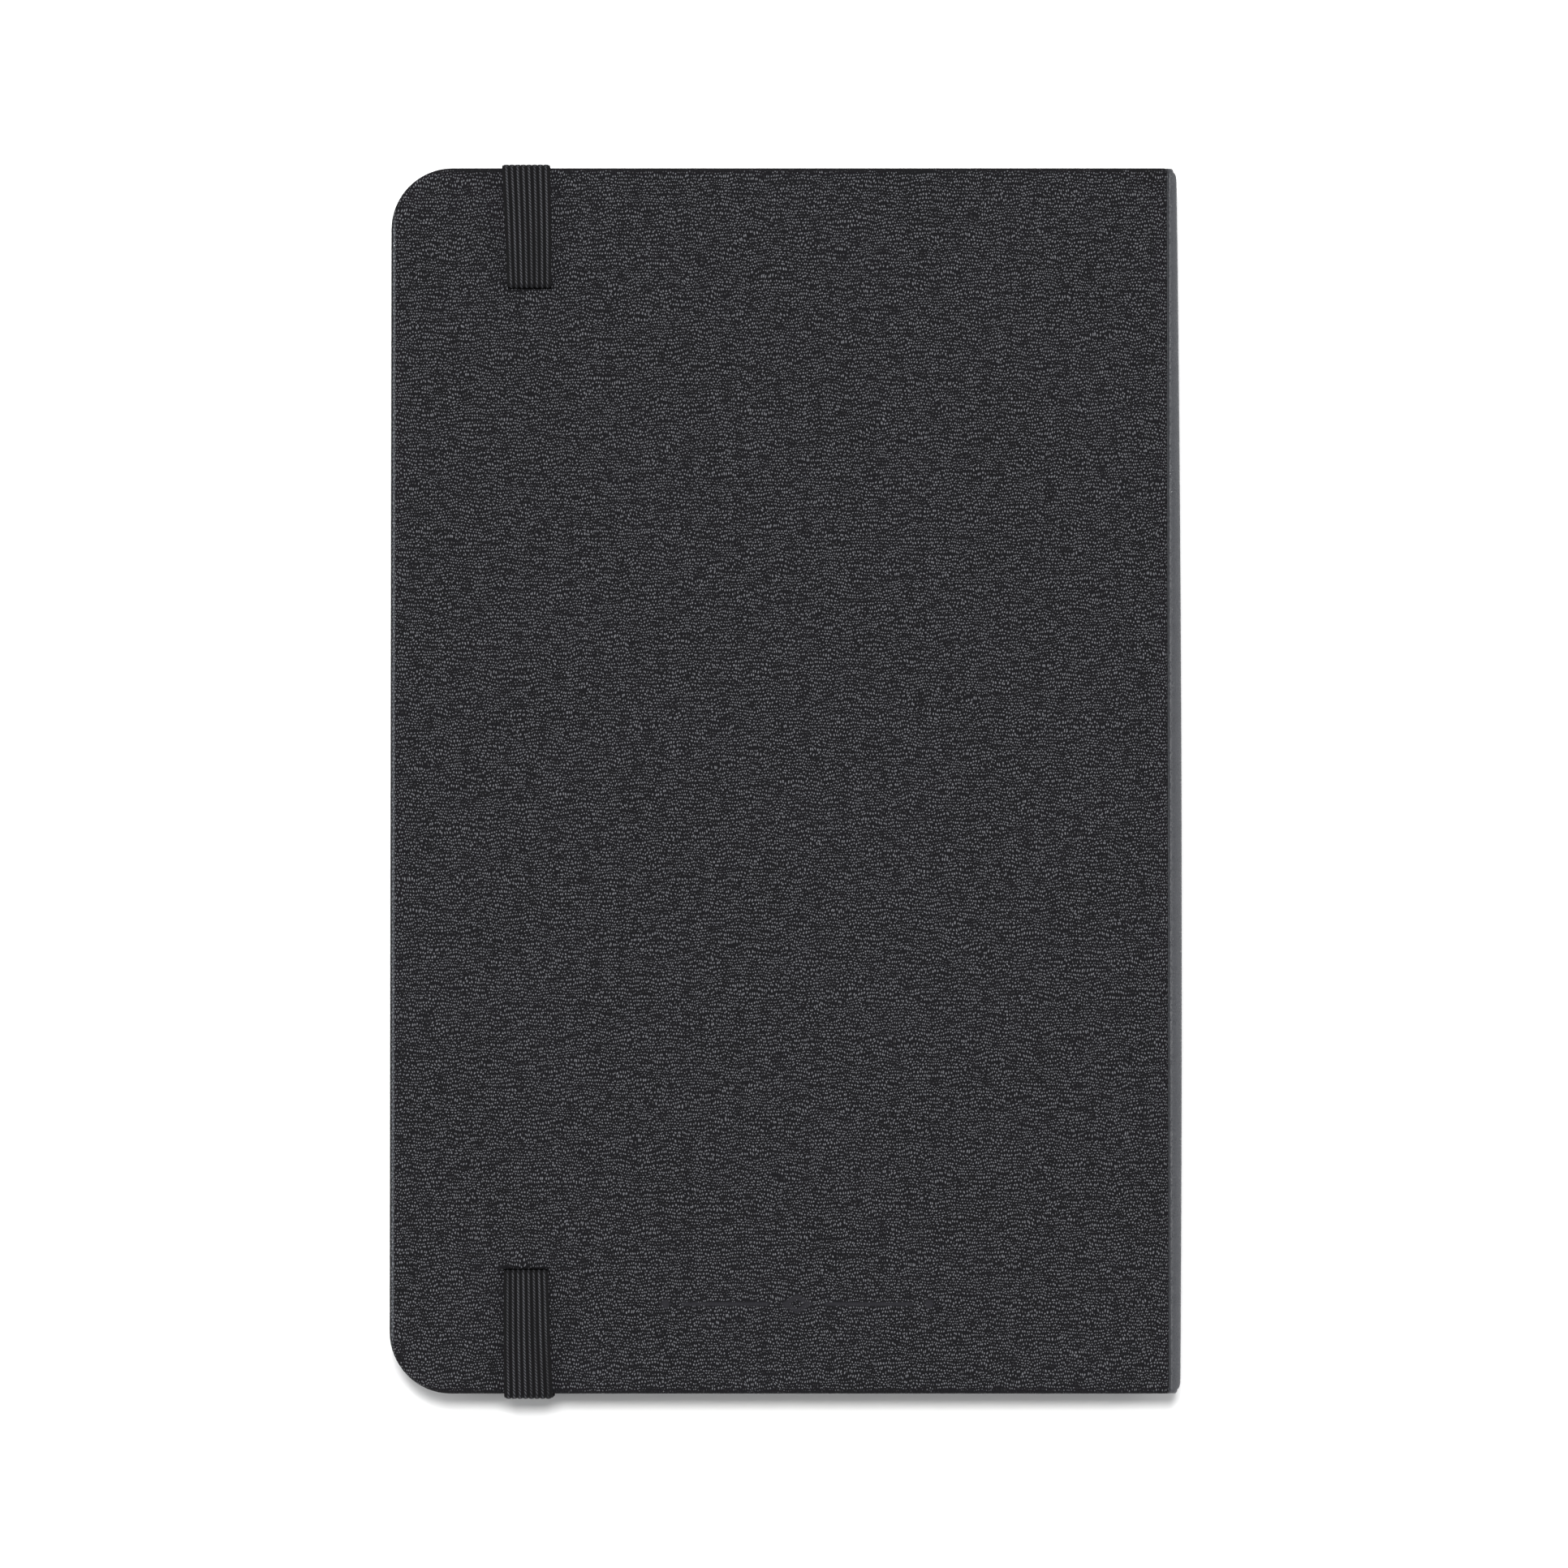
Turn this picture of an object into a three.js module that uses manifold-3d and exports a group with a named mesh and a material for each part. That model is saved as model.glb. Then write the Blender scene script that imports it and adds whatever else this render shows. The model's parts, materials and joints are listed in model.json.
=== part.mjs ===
// A hardcover pocket notebook, closed, lying on its front cover.
// Millimetres. +X points to the spine, +Y to the head, +Z out of the back cover.
// The origin is under the middle of the book, level with the underside of the elastic.
//
// The case is two boards and a spine card in one leatherette skin, split here at the two joints
// that the covers turn on. It holds a block of twelve sewn signatures between endpapers, a ribbon
// marker, a pocket inside the back cover, and an elastic loop anchored in the back cover.

import * as THREE from "three";
import { mergeVertices } from "three/addons/utils/BufferGeometryUtils.js";
import Module from "manifold-3d";

const wasm = await Module();
wasm.setup();

// ---- Driving dimensions -------------------------------------------------------------------

const BOOK_WIDTH = 90; // fore-edge to spine
const BOOK_HEIGHT = 140; // tail to head
const BOOK_THICKNESS = 14; // over both covers
const CORNER_RADIUS = 7; // the covers' two fore-edge corners
const GAP = 0.04; // between pieces that lie on each other

const SKIN = 0.25; // leatherette
const BOARD = 1.2; // grey board of the covers
const TURN_IN_WIDTH = 12; // leatherette folded over onto the board's inner face
const PASTEDOWN = 0.15;
const PASTEDOWN_INSET = 2.2; // leatherette left bare round the pastedown
const WINDOW_RADIUS = 0.5; // of the corners between the turn-ins

const JOINT_INSET = 1.6; // from the spine's outer face to the crease that a cover turns on
const JOINT_GAP = 0.1; // each side of that crease
const BOARD_SETBACK = 0.3; // from a cover skin's end to its board
const SPINE_CARD = 0.7;
const SPINE_LINING = 0.4;
const LINING_INSET = 1; // from the head and tail of the pages
const MULL = 0.2; // cloth of the lining's two flaps
const MULL_REACH = 18; // onto the boards
const MULL_CLEARANCE = 0.4; // from the turn-ins at head and tail

const SQUARE = 2.3; // how far the covers reach past the pages
const PAGE_SETBACK = 0.8; // from the crease to the folds of the pages
const PAGE_RADIUS = 5;
const SIGNATURES = 12;
const SIGNATURE = 0.68; // eight leaves of 0.085 mm
const LEAF_GAP = 0.02; // between signatures
const FLYLEAF = 0.12;
const RIBBON_SLOT = 0.46; // between the sixth and seventh signatures

const RIBBON_WIDTH = 5;
const RIBBON = 0.15;
const RIBBON_INSET = 1.4; // from the crease to the ribbon
const MARKER_LOW = -60; // lower end of the fixed length
const TAIL_LOW = -66; // lower end of the length that is drawn out
const TAIL_HIGH = -5;
const GLUE_LOW = 0.2; // the glued end, above the head of the pages
const GLUE_HIGH = 1.2;
const GLUE_GAP = 0.1; // from it to the spine card

const POCKET_PANEL = 0.3;
const POCKET_GUSSET = 0.25;
const GUSSET_WIDTH = 4.5;
const GUSSET_INSET = 6.5; // from the head or tail edge to a gusset's middle line
const GUSSET_START = 8.5; // from the fore-edge
const POCKET_MOUTH = 10.4; // from the crease to the pocket's open edge
const POCKET_START = 3.5; // from the fore-edge
const POCKET_INSET = 4; // from the head and tail edges
const POCKET_RADIUS = 5;

const ELASTIC_WIDTH = 5.6;
const ELASTIC = 0.6;
const ELASTIC_INSET = 15.3; // from the fore-edge to the middle of the strap
const HEAD_SLOT_INSET = 13.5; // from the head edge to the slot
const TAIL_SLOT_INSET = 13.8;
const SLOT_LENGTH = 6.2;
const SLOT_WIDTH = 1.2;
const SLOT_PLAY = 0.1; // by which the board's slot is wider all round
const ANCHOR_LENGTH = 15; // of strap glued under the pastedown

const THREAD_STATIONS = 5;
const THREAD_PITCH = 28;
const THREAD_WIDTH = 2;
const THREAD = 0.12;
const THREAD_INSET = 0.2; // from the block's two faces

const ARC_SEGMENTS = 10;

// ---- Places worked out from them ----------------------------------------------------------

const FORE_EDGE = -BOOK_WIDTH / 2;
const SPINE_FACE = BOOK_WIDTH / 2;
const HEAD_EDGE = BOOK_HEIGHT / 2;
const FRONT_FACE = ELASTIC + GAP;
const BACK_FACE = FRONT_FACE + BOOK_THICKNESS;
const CREASE = SPINE_FACE - JOINT_INSET;
const COVER_END = CREASE - JOINT_GAP;
const BOARD_END = COVER_END - BOARD_SETBACK;
const PAGE_END = CREASE - PAGE_SETBACK;
const STRAP_X = FORE_EDGE + ELASTIC_INSET;

// depths below a cover's outer face
const BOARD_DEPTH = SKIN + GAP;
const TURN_IN_DEPTH = BOARD_DEPTH + BOARD + GAP;
const PASTEDOWN_DEPTH = TURN_IN_DEPTH + SKIN + GAP;
const COVER_DEPTH = PASTEDOWN_DEPTH + PASTEDOWN;
const GUSSET_DEPTH = COVER_DEPTH + GAP;
const PANEL_DEPTH = GUSSET_DEPTH + POCKET_GUSSET + GAP;

// ---- Materials ----------------------------------------------------------------------------

const material = (color, roughness) =>
  new THREE.MeshStandardMaterial({ color, roughness, metalness: 0 });

const leatherette = material(0x222226, 0.45);
const greyBoard = material(0x8d8579, 0.9);
const endpaper = material(0xe9e2cb, 0.8);
const paper = material(0xefe8d2, 0.85);
const mull = material(0xd9d4c6, 0.95);
const thread = material(0xf2efe6, 0.7);
const ribbonSatin = material(0x1b1b1e, 0.5);
const blackCloth = material(0x1d1d20, 0.9);
const elasticWeave = material(0x18181b, 0.75);

const notebook = new THREE.Group();
notebook.name = "pocket_notebook";

function add(name, geometry, finish) {
  const mesh = new THREE.Mesh(geometry, finish);
  mesh.name = name;
  notebook.add(mesh);
  return mesh;
}

// ---- Shapes -------------------------------------------------------------------------------

// A rectangle in plan, with a round at each fore-edge corner.
function coverOutline(left, right, halfHeight, radius) {
  const outline = new THREE.Shape();
  outline.moveTo(right, -halfHeight);
  outline.lineTo(right, halfHeight);
  outline.lineTo(left + radius, halfHeight);
  outline.absarc(left + radius, halfHeight - radius, radius, Math.PI / 2, Math.PI, false);
  outline.absarc(left + radius, radius - halfHeight, radius, Math.PI, 1.5 * Math.PI, false);
  outline.closePath();
  return outline;
}

function rectangle(left, right, low, high) {
  const outline = new THREE.Shape();
  outline.moveTo(left, low);
  outline.lineTo(right, low);
  outline.lineTo(right, high);
  outline.lineTo(left, high);
  outline.closePath();
  return outline;
}

// An outline in plan, extruded from one height to another.
function plate(outline, low, high) {
  const options = { depth: high - low, bevelEnabled: false, curveSegments: ARC_SEGMENTS };
  return new THREE.ExtrudeGeometry(outline, options).translate(0, 0, low);
}

// A profile of [x, z] points, extruded along Y from one place to another.
function alongY(points, low, high) {
  const outline = new THREE.Shape(points.map(([x, z]) => new THREE.Vector2(x, z)));
  const options = { depth: high - low, bevelEnabled: false };
  return new THREE.ExtrudeGeometry(outline, options).rotateX(Math.PI / 2).translate(0, high, 0);
}

// A profile of [y, z] points, extruded along X from one place to another.
function alongX(points, low, high) {
  const outline = new THREE.Shape(points.map(([y, z]) => new THREE.Vector2(y, z)));
  const options = { depth: high - low, bevelEnabled: false };
  const solid = new THREE.ExtrudeGeometry(outline, options);
  return solid.rotateX(Math.PI / 2).rotateZ(Math.PI / 2).translate(low, 0, 0);
}

function toSolid(geometry) {
  const bare = geometry.clone();
  bare.deleteAttribute("normal");
  bare.deleteAttribute("uv");
  const merged = mergeVertices(bare, 1e-5);
  const vertProperties = new Float32Array(merged.attributes.position.array);
  const triVerts = new Uint32Array(merged.index.array);
  return new wasm.Manifold(new wasm.Mesh({ numProp: 3, vertProperties, triVerts }));
}

function cut(geometry, tools) {
  const solid = tools.reduce((left, tool) => left.subtract(toSolid(tool)), toSolid(geometry));
  const mesh = solid.getMesh();
  const result = new THREE.BufferGeometry();
  result.setAttribute("position", new THREE.BufferAttribute(mesh.vertProperties, 3));
  result.setIndex(new THREE.BufferAttribute(mesh.triVerts, 1));
  return result;
}

// ---- Covers -------------------------------------------------------------------------------

const BACK = { name: "back", face: BACK_FACE, inward: -1 };
const FRONT = { name: "front", face: FRONT_FACE, inward: 1 };

// A plate that lies between two depths below a cover's outer face.
function layer(side, outline, shallow, deep) {
  const ends = [side.face + side.inward * shallow, side.face + side.inward * deep];
  return plate(outline, Math.min(...ends), Math.max(...ends));
}

// The cover's outline drawn in by an inset on its three outer edges.
const insetOutline = (inset, right) =>
  coverOutline(FORE_EDGE + inset, right, HEAD_EDGE - inset, CORNER_RADIUS - inset);

const slotHole = (y, play) =>
  rectangle(STRAP_X - SLOT_LENGTH / 2 - play, STRAP_X + SLOT_LENGTH / 2 + play,
    y - SLOT_WIDTH / 2 - play, y + SLOT_WIDTH / 2 + play);

const headSlot = HEAD_EDGE - HEAD_SLOT_INSET;
const tailSlot = -HEAD_EDGE + TAIL_SLOT_INSET;

// The leatherette wraps the board's outer face and edges and turns in over its inner face.
function coverSkin(side, slots) {
  const beyond = COVER_END + 1;
  const wrapped = layer(side, insetOutline(0, COVER_END), 0, TURN_IN_DEPTH + SKIN);
  const hollow = layer(side, insetOutline(SKIN, beyond), SKIN, TURN_IN_DEPTH);
  const window = coverOutline(FORE_EDGE + TURN_IN_WIDTH, beyond, HEAD_EDGE - TURN_IN_WIDTH,
    WINDOW_RADIUS);
  const opening = layer(side, window, SKIN, COVER_DEPTH);
  const holes = slots.map((y) => layer(side, slotHole(y, 0), -1, 2 * SKIN));
  add(`${side.name}_cover_skin`, cut(wrapped, [hollow, opening, ...holes]), leatherette);
}

function coverBoard(side, slots) {
  const outline = insetOutline(SKIN + GAP, BOARD_END);
  outline.holes.push(...slots.map((y) => slotHole(y, SLOT_PLAY)));
  add(`${side.name}_board`, layer(side, outline, BOARD_DEPTH, BOARD_DEPTH + BOARD), greyBoard);
}

// The half of the endpaper that is glued down over the turn-ins.
function pastedown(side) {
  const outline = insetOutline(PASTEDOWN_INSET, BOARD_END);
  add(`${side.name}_pastedown`, layer(side, outline, PASTEDOWN_DEPTH, COVER_DEPTH), endpaper);
}

// The flap of the spine lining's cloth that ties a board to the block.
function mullFlap(side) {
  const halfHeight = HEAD_EDGE - TURN_IN_WIDTH - MULL_CLEARANCE;
  const flap = rectangle(BOARD_END - MULL_REACH, BOARD_END, -halfHeight, halfHeight);
  add(`${side.name}_mull_flap`, layer(side, flap, TURN_IN_DEPTH, TURN_IN_DEPTH + MULL), mull);
}

for (const side of [BACK, FRONT]) {
  const slots = side === BACK ? [headSlot, tailSlot] : [];
  coverSkin(side, slots);
  coverBoard(side, slots);
  mullFlap(side);
  pastedown(side);
}

// ---- Spine --------------------------------------------------------------------------------

const flangeEnd = CREASE + JOINT_GAP;
const innerFace = SPINE_FACE - SKIN;
const cardFace = innerFace - GAP;
const cardBack = cardFace - SPINE_CARD;

const spineProfile = [
  [flangeEnd, FRONT_FACE], [SPINE_FACE, FRONT_FACE],
  [SPINE_FACE, BACK_FACE], [flangeEnd, BACK_FACE],
  [flangeEnd, BACK_FACE - SKIN], [innerFace, BACK_FACE - SKIN],
  [innerFace, FRONT_FACE + SKIN], [flangeEnd, FRONT_FACE + SKIN],
];
add("spine_skin", alongY(spineProfile, -HEAD_EDGE, HEAD_EDGE), leatherette);

const cardEnd = HEAD_EDGE - SKIN - GAP;
const card = rectangle(cardBack, cardFace, -cardEnd, cardEnd);
add("spine_stiffener", plate(card, FRONT_FACE + BOARD_DEPTH, BACK_FACE - BOARD_DEPTH), greyBoard);

// ---- Text block ---------------------------------------------------------------------------

const pageHalfHeight = HEAD_EDGE - SQUARE;
const leafOutline = () =>
  coverOutline(FORE_EDGE + SQUARE, PAGE_END, pageHalfHeight, PAGE_RADIUS);

const blockLow = FRONT_FACE + COVER_DEPTH + GAP;
let height = blockLow;

function addLeaf(name, thickness, finish, gap) {
  add(name, plate(leafOutline(), height, height + thickness), finish);
  height += thickness + gap;
}

addLeaf("front_flyleaf", FLYLEAF, endpaper, LEAF_GAP);
let ribbonLow = 0;
for (let count = 1; count <= SIGNATURES; count += 1) {
  const beforeRibbon = count === SIGNATURES / 2;
  const gap = beforeRibbon ? RIBBON_SLOT : LEAF_GAP;
  addLeaf(`signature_${String(count).padStart(2, "0")}`, SIGNATURE, paper, gap);
  if (beforeRibbon) ribbonLow = height - RIBBON_SLOT + GAP;
}
addLeaf("rear_flyleaf", FLYLEAF, endpaper, 0);
const blockHigh = height;

// The sewing passes over the folds at each station, and the lining is glued over it.
for (let station = 0; station < THREAD_STATIONS; station += 1) {
  const middle = (station - (THREAD_STATIONS - 1) / 2) * THREAD_PITCH;
  const stitch = rectangle(PAGE_END + GAP, PAGE_END + GAP + THREAD,
    middle - THREAD_WIDTH / 2, middle + THREAD_WIDTH / 2);
  const solid = plate(stitch, blockLow + THREAD_INSET, blockHigh - THREAD_INSET);
  add(`sewing_thread_${station + 1}`, solid, thread);
}

const liningFace = PAGE_END + THREAD + 2 * GAP;
const liningEnd = pageHalfHeight - LINING_INSET;
const lining = rectangle(liningFace, liningFace + SPINE_LINING, -liningEnd, liningEnd);
add("spine_lining", plate(lining, blockLow, blockHigh), mull);

// ---- Ribbon marker ------------------------------------------------------------------------

// The upper length is glued to the spine above the head of the pages. The lower length is what
// is drawn out at the tail, and lies on it between the pages.
const ribbonRight = CREASE - RIBBON_INSET;
const ribbonLeft = ribbonRight - RIBBON_WIDTH;
const glueEnd = cardBack - GLUE_GAP;
const glueLow = pageHalfHeight + GLUE_LOW;
const glueHigh = pageHalfHeight + GLUE_HIGH;
const markerOutline = new THREE.Shape([
  [ribbonLeft, MARKER_LOW], [ribbonRight, MARKER_LOW], [ribbonRight, glueLow],
  [glueEnd, glueLow], [glueEnd, glueHigh], [ribbonLeft, glueHigh],
].map(([x, y]) => new THREE.Vector2(x, y)));
add("ribbon_marker", plate(markerOutline, ribbonLow, ribbonLow + RIBBON), ribbonSatin);

const tailRest = ribbonLow + RIBBON + GAP;
const tailOutline = rectangle(ribbonLeft, ribbonRight, TAIL_LOW, TAIL_HIGH);
add("ribbon_tail", plate(tailOutline, tailRest, tailRest + RIBBON), ribbonSatin);

// ---- Pocket inside the back cover ---------------------------------------------------------

const pocketEdge = CREASE - POCKET_MOUTH;
const panelOutline = coverOutline(FORE_EDGE + POCKET_START, pocketEdge,
  HEAD_EDGE - POCKET_INSET, POCKET_RADIUS);
const panel = layer(BACK, panelOutline, PANEL_DEPTH, PANEL_DEPTH + POCKET_PANEL);
add("pocket_panel", panel, endpaper);

const gussetMiddle = HEAD_EDGE - GUSSET_INSET;
for (const [name, middle] of [["head", gussetMiddle], ["tail", -gussetMiddle]]) {
  const strip = rectangle(FORE_EDGE + GUSSET_START, pocketEdge,
    middle - GUSSET_WIDTH / 2, middle + GUSSET_WIDTH / 2);
  const folded = layer(BACK, strip, GUSSET_DEPTH, GUSSET_DEPTH + POCKET_GUSSET);
  add(`pocket_gusset_${name}`, folded, blackCloth);
}

// ---- Elastic loop -------------------------------------------------------------------------

const strapLeft = STRAP_X - ELASTIC_WIDTH / 2;
const strapRight = STRAP_X + ELASTIC_WIDTH / 2;
const strapLow = BACK_FACE + GAP;
const strapHigh = strapLow + ELASTIC;
const wrapInner = HEAD_EDGE + 2 * GAP;
const wrapOuter = wrapInner + ELASTIC;

const span = rectangle(strapLeft, strapRight, -wrapOuter, wrapOuter);
add("elastic_front_span", plate(span, 0, ELASTIC), elasticWeave);

// Each end runs in from the edge, down through its slot, and lies glued under the pastedown.
function elasticEnd(name, way, slot) {
  const wrap = [way * wrapInner, way * wrapOuter].sort((a, b) => a - b);
  const upright = rectangle(strapLeft, strapRight, ...wrap);
  add(`elastic_${name}_wrap`, plate(upright, ELASTIC + GAP, strapHigh), elasticWeave);

  const edge = way * (HEAD_EDGE + GAP);
  const outer = slot + (way * ELASTIC) / 2;
  const inner = slot - (way * ELASTIC) / 2;
  const anchor = slot - way * ANCHOR_LENGTH;
  const anchorHigh = BACK_FACE - TURN_IN_DEPTH;
  const anchorLow = anchorHigh - SKIN;
  const profile = [
    [edge, strapLow], [edge, strapHigh], [inner, strapHigh], [inner, anchorHigh],
    [anchor, anchorHigh], [anchor, anchorLow], [outer, anchorLow], [outer, strapLow],
  ];
  if (way < 0) profile.reverse();
  add(`elastic_${name}_end`, alongX(profile, strapLeft, strapRight), elasticWeave);
}

elasticEnd("head", 1, headSlot);
elasticEnd("tail", -1, tailSlot);

export default notebook;
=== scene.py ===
"""Looks of the pocket notebook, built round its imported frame.

Metres, in the frame of the CAD model: the closed book lies on its front cover, +X points to the
spine, +Y to the head and +Z out of the back cover.
"""
import json
import math
import random

import bmesh
import bpy
import numpy as np
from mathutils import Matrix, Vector


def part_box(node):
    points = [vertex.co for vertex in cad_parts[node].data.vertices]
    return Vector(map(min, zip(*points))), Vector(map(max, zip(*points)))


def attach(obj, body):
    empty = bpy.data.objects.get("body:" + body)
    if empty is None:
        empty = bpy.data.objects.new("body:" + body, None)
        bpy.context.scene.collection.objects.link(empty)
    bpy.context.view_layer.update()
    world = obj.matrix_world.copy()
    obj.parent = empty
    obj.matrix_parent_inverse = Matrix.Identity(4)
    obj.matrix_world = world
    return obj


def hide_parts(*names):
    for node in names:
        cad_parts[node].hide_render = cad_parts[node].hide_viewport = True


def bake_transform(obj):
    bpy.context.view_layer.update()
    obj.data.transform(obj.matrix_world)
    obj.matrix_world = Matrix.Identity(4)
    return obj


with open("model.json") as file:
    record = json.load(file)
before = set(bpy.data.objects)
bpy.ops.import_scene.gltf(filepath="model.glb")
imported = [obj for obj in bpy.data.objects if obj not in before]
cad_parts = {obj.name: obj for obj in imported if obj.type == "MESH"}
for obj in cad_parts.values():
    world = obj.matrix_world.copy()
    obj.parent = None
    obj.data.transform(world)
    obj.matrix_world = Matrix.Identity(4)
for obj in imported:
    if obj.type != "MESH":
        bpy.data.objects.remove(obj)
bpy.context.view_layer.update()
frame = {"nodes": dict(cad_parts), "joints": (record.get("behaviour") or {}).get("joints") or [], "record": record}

MM = 0.001

# ---- Places, from the frame ----


def box(node):
    """A node's lowest and highest corners, in millimetres."""
    low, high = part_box(node)
    return np.array(low) / MM, np.array(high) / MM


def joint_place(name):
    return next(j["pos_m"] for j in frame["joints"] if j["name"] == name)


back_low, back_high = box("back_cover_skin")
front_low = box("front_cover_skin")[0]
span_low, span_high = box("elastic_front_span")

BACK_FACE = back_high[2]
FRONT_FACE = front_low[2]
MIDDLE = (BACK_FACE + FRONT_FACE) / 2
HALF_THICKNESS = (BACK_FACE - FRONT_FACE) / 2
FORE_EDGE = back_low[0]
HEAD_EDGE = back_high[1]
COVER_THICKNESS = back_high[2] - back_low[2]
CREASE = joint_place("back_cover_hinge")[0] / MM
STRAP_X = (span_low[0] + span_high[0]) / 2
STRAP_THICKNESS = span_high[2] - span_low[2]
ANCHORED = 15  # of the strap is glued down past each slot
HEAD_SLOT = box("elastic_head_end")[0][1] + ANCHORED
TAIL_SLOT = box("elastic_tail_end")[1][1] - ANCHORED
# the strap was sewn in slightly askew: how far it stands off its middle at each place
HEAD_SLOT_X, HEAD_STRAP_X = STRAP_X + 0.52, STRAP_X + 0.12
TAIL_SLOT_X, TAIL_STRAP_X = STRAP_X + 0.20, STRAP_X + 0.52
SLOTS = ((HEAD_SLOT_X, HEAD_SLOT, 1), (TAIL_SLOT_X, TAIL_SLOT, -1))

STRAP_HALF_WIDTH = 2.75  # over the edges of the book
RIBS = 8
RIBBED_SHARE = 0.94  # of the strap's width; the rest is its two flat selvedges
RIBBED_HALF = STRAP_HALF_WIDTH * RIBBED_SHARE
RIB_PITCH = 2 * RIBBED_HALF / RIBS

# ---- Mesh helpers ----


def smoothstep(t):
    t = np.clip(t, 0, 1)
    return t * t * (3 - 2 * t)


def spread(stops, steps):
    """Values from the first stop to the last, with about the given step between each pair."""
    values = [np.array([stops[0]])]
    for low, high, step in zip(stops, stops[1:], steps):
        count = max(1, math.ceil((high - low) / step))
        values.append(np.linspace(low, high, count + 1)[1:])
    return np.concatenate(values)


def grid_faces(rows, columns, closed=False, flip=False):
    """Quads of a grid whose vertices run along its columns first."""
    faces = []
    for row in range(rows - 1):
        for column in range(columns if closed else columns - 1):
            after = (column + 1) % columns
            here, up = row * columns, (row + 1) * columns
            quad = (here + column, here + after, up + after, up + column)
            faces.append(quad[::-1] if flip else quad)
    return faces


def make_object(name, points, faces, uvs=None):
    """A mesh object from points in millimetres, with a UV map of surface distances in metres."""
    mesh = bpy.data.meshes.new(name)
    mesh.from_pydata((np.asarray(points) * MM).tolist(), [], faces)
    if uvs is not None:
        layer = mesh.uv_layers.new(name="surface")
        loops = np.zeros(len(mesh.loops), dtype=np.int64)
        mesh.loops.foreach_get("vertex_index", loops)
        layer.data.foreach_set("uv", (np.asarray(uvs)[loops] * MM).ravel())
    mesh.polygons.foreach_set("use_smooth", [True] * len(mesh.polygons))
    mesh.update()
    made = bpy.data.objects.new(name, mesh)
    bpy.context.scene.collection.objects.link(made)
    return made


def thicken(made, thickness):
    """Gives a sheet its thickness, in millimetres, behind its face."""
    solid = made.modifiers.new("thickness", "SOLIDIFY")
    solid.thickness = thickness * MM
    solid.offset = -1
    solid.use_even_offset = True
    solid.use_quality_normals = True
    graph = bpy.context.evaluated_depsgraph_get()
    mesh = bpy.data.meshes.new_from_object(made.evaluated_get(graph))
    made.modifiers.clear()
    made.data = mesh


def thick_sheet(name, lines, thickness, uvs=None):
    """A sheet of a thickness, in millimetres, round rows of points that lie in its middle."""
    lines = np.asarray(lines, float)
    rows, columns = lines.shape[:2]
    normal = np.cross(np.gradient(lines, axis=1), np.gradient(lines, axis=0))
    half = normal / np.linalg.norm(normal, axis=2)[:, :, None] * thickness / 2
    points = np.concatenate([(lines + half).reshape(-1, 3), (lines - half).reshape(-1, 3)])
    count = rows * columns
    front = grid_faces(rows, columns)
    faces = front + [tuple(i + count for i in face[::-1]) for face in front]
    rim = (list(range(columns)) + [r * columns - 1 for r in range(2, rows + 1)]
           + list(range(count - 2, count - columns - 1, -1))
           + [r * columns for r in range(rows - 2, 0, -1)])
    faces += [(b, a, a + count, b + count) for a, b in zip(rim, rim[1:] + rim[:1])]
    made = make_object(name, points, faces, None if uvs is None else list(uvs) * 2)
    sharpen(made)
    return made


CRISP = math.radians(40)  # an edge that turns more than this isn't shaded smooth


def sharpen(made):
    """Keeps the edges between a sheet's faces and its cut sides crisp."""
    mesh = bmesh.new()
    mesh.from_mesh(made.data)
    for edge in mesh.edges:
        if len(edge.link_faces) == 2:
            edge.smooth = edge.calc_face_angle(0) < CRISP
    mesh.to_mesh(made.data)
    mesh.free()


def finish_piece(made, slot):
    made.data.materials.clear()
    made.data.materials.append(MATERIALS[slot])
    return made


# ---- Materials ----


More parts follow.
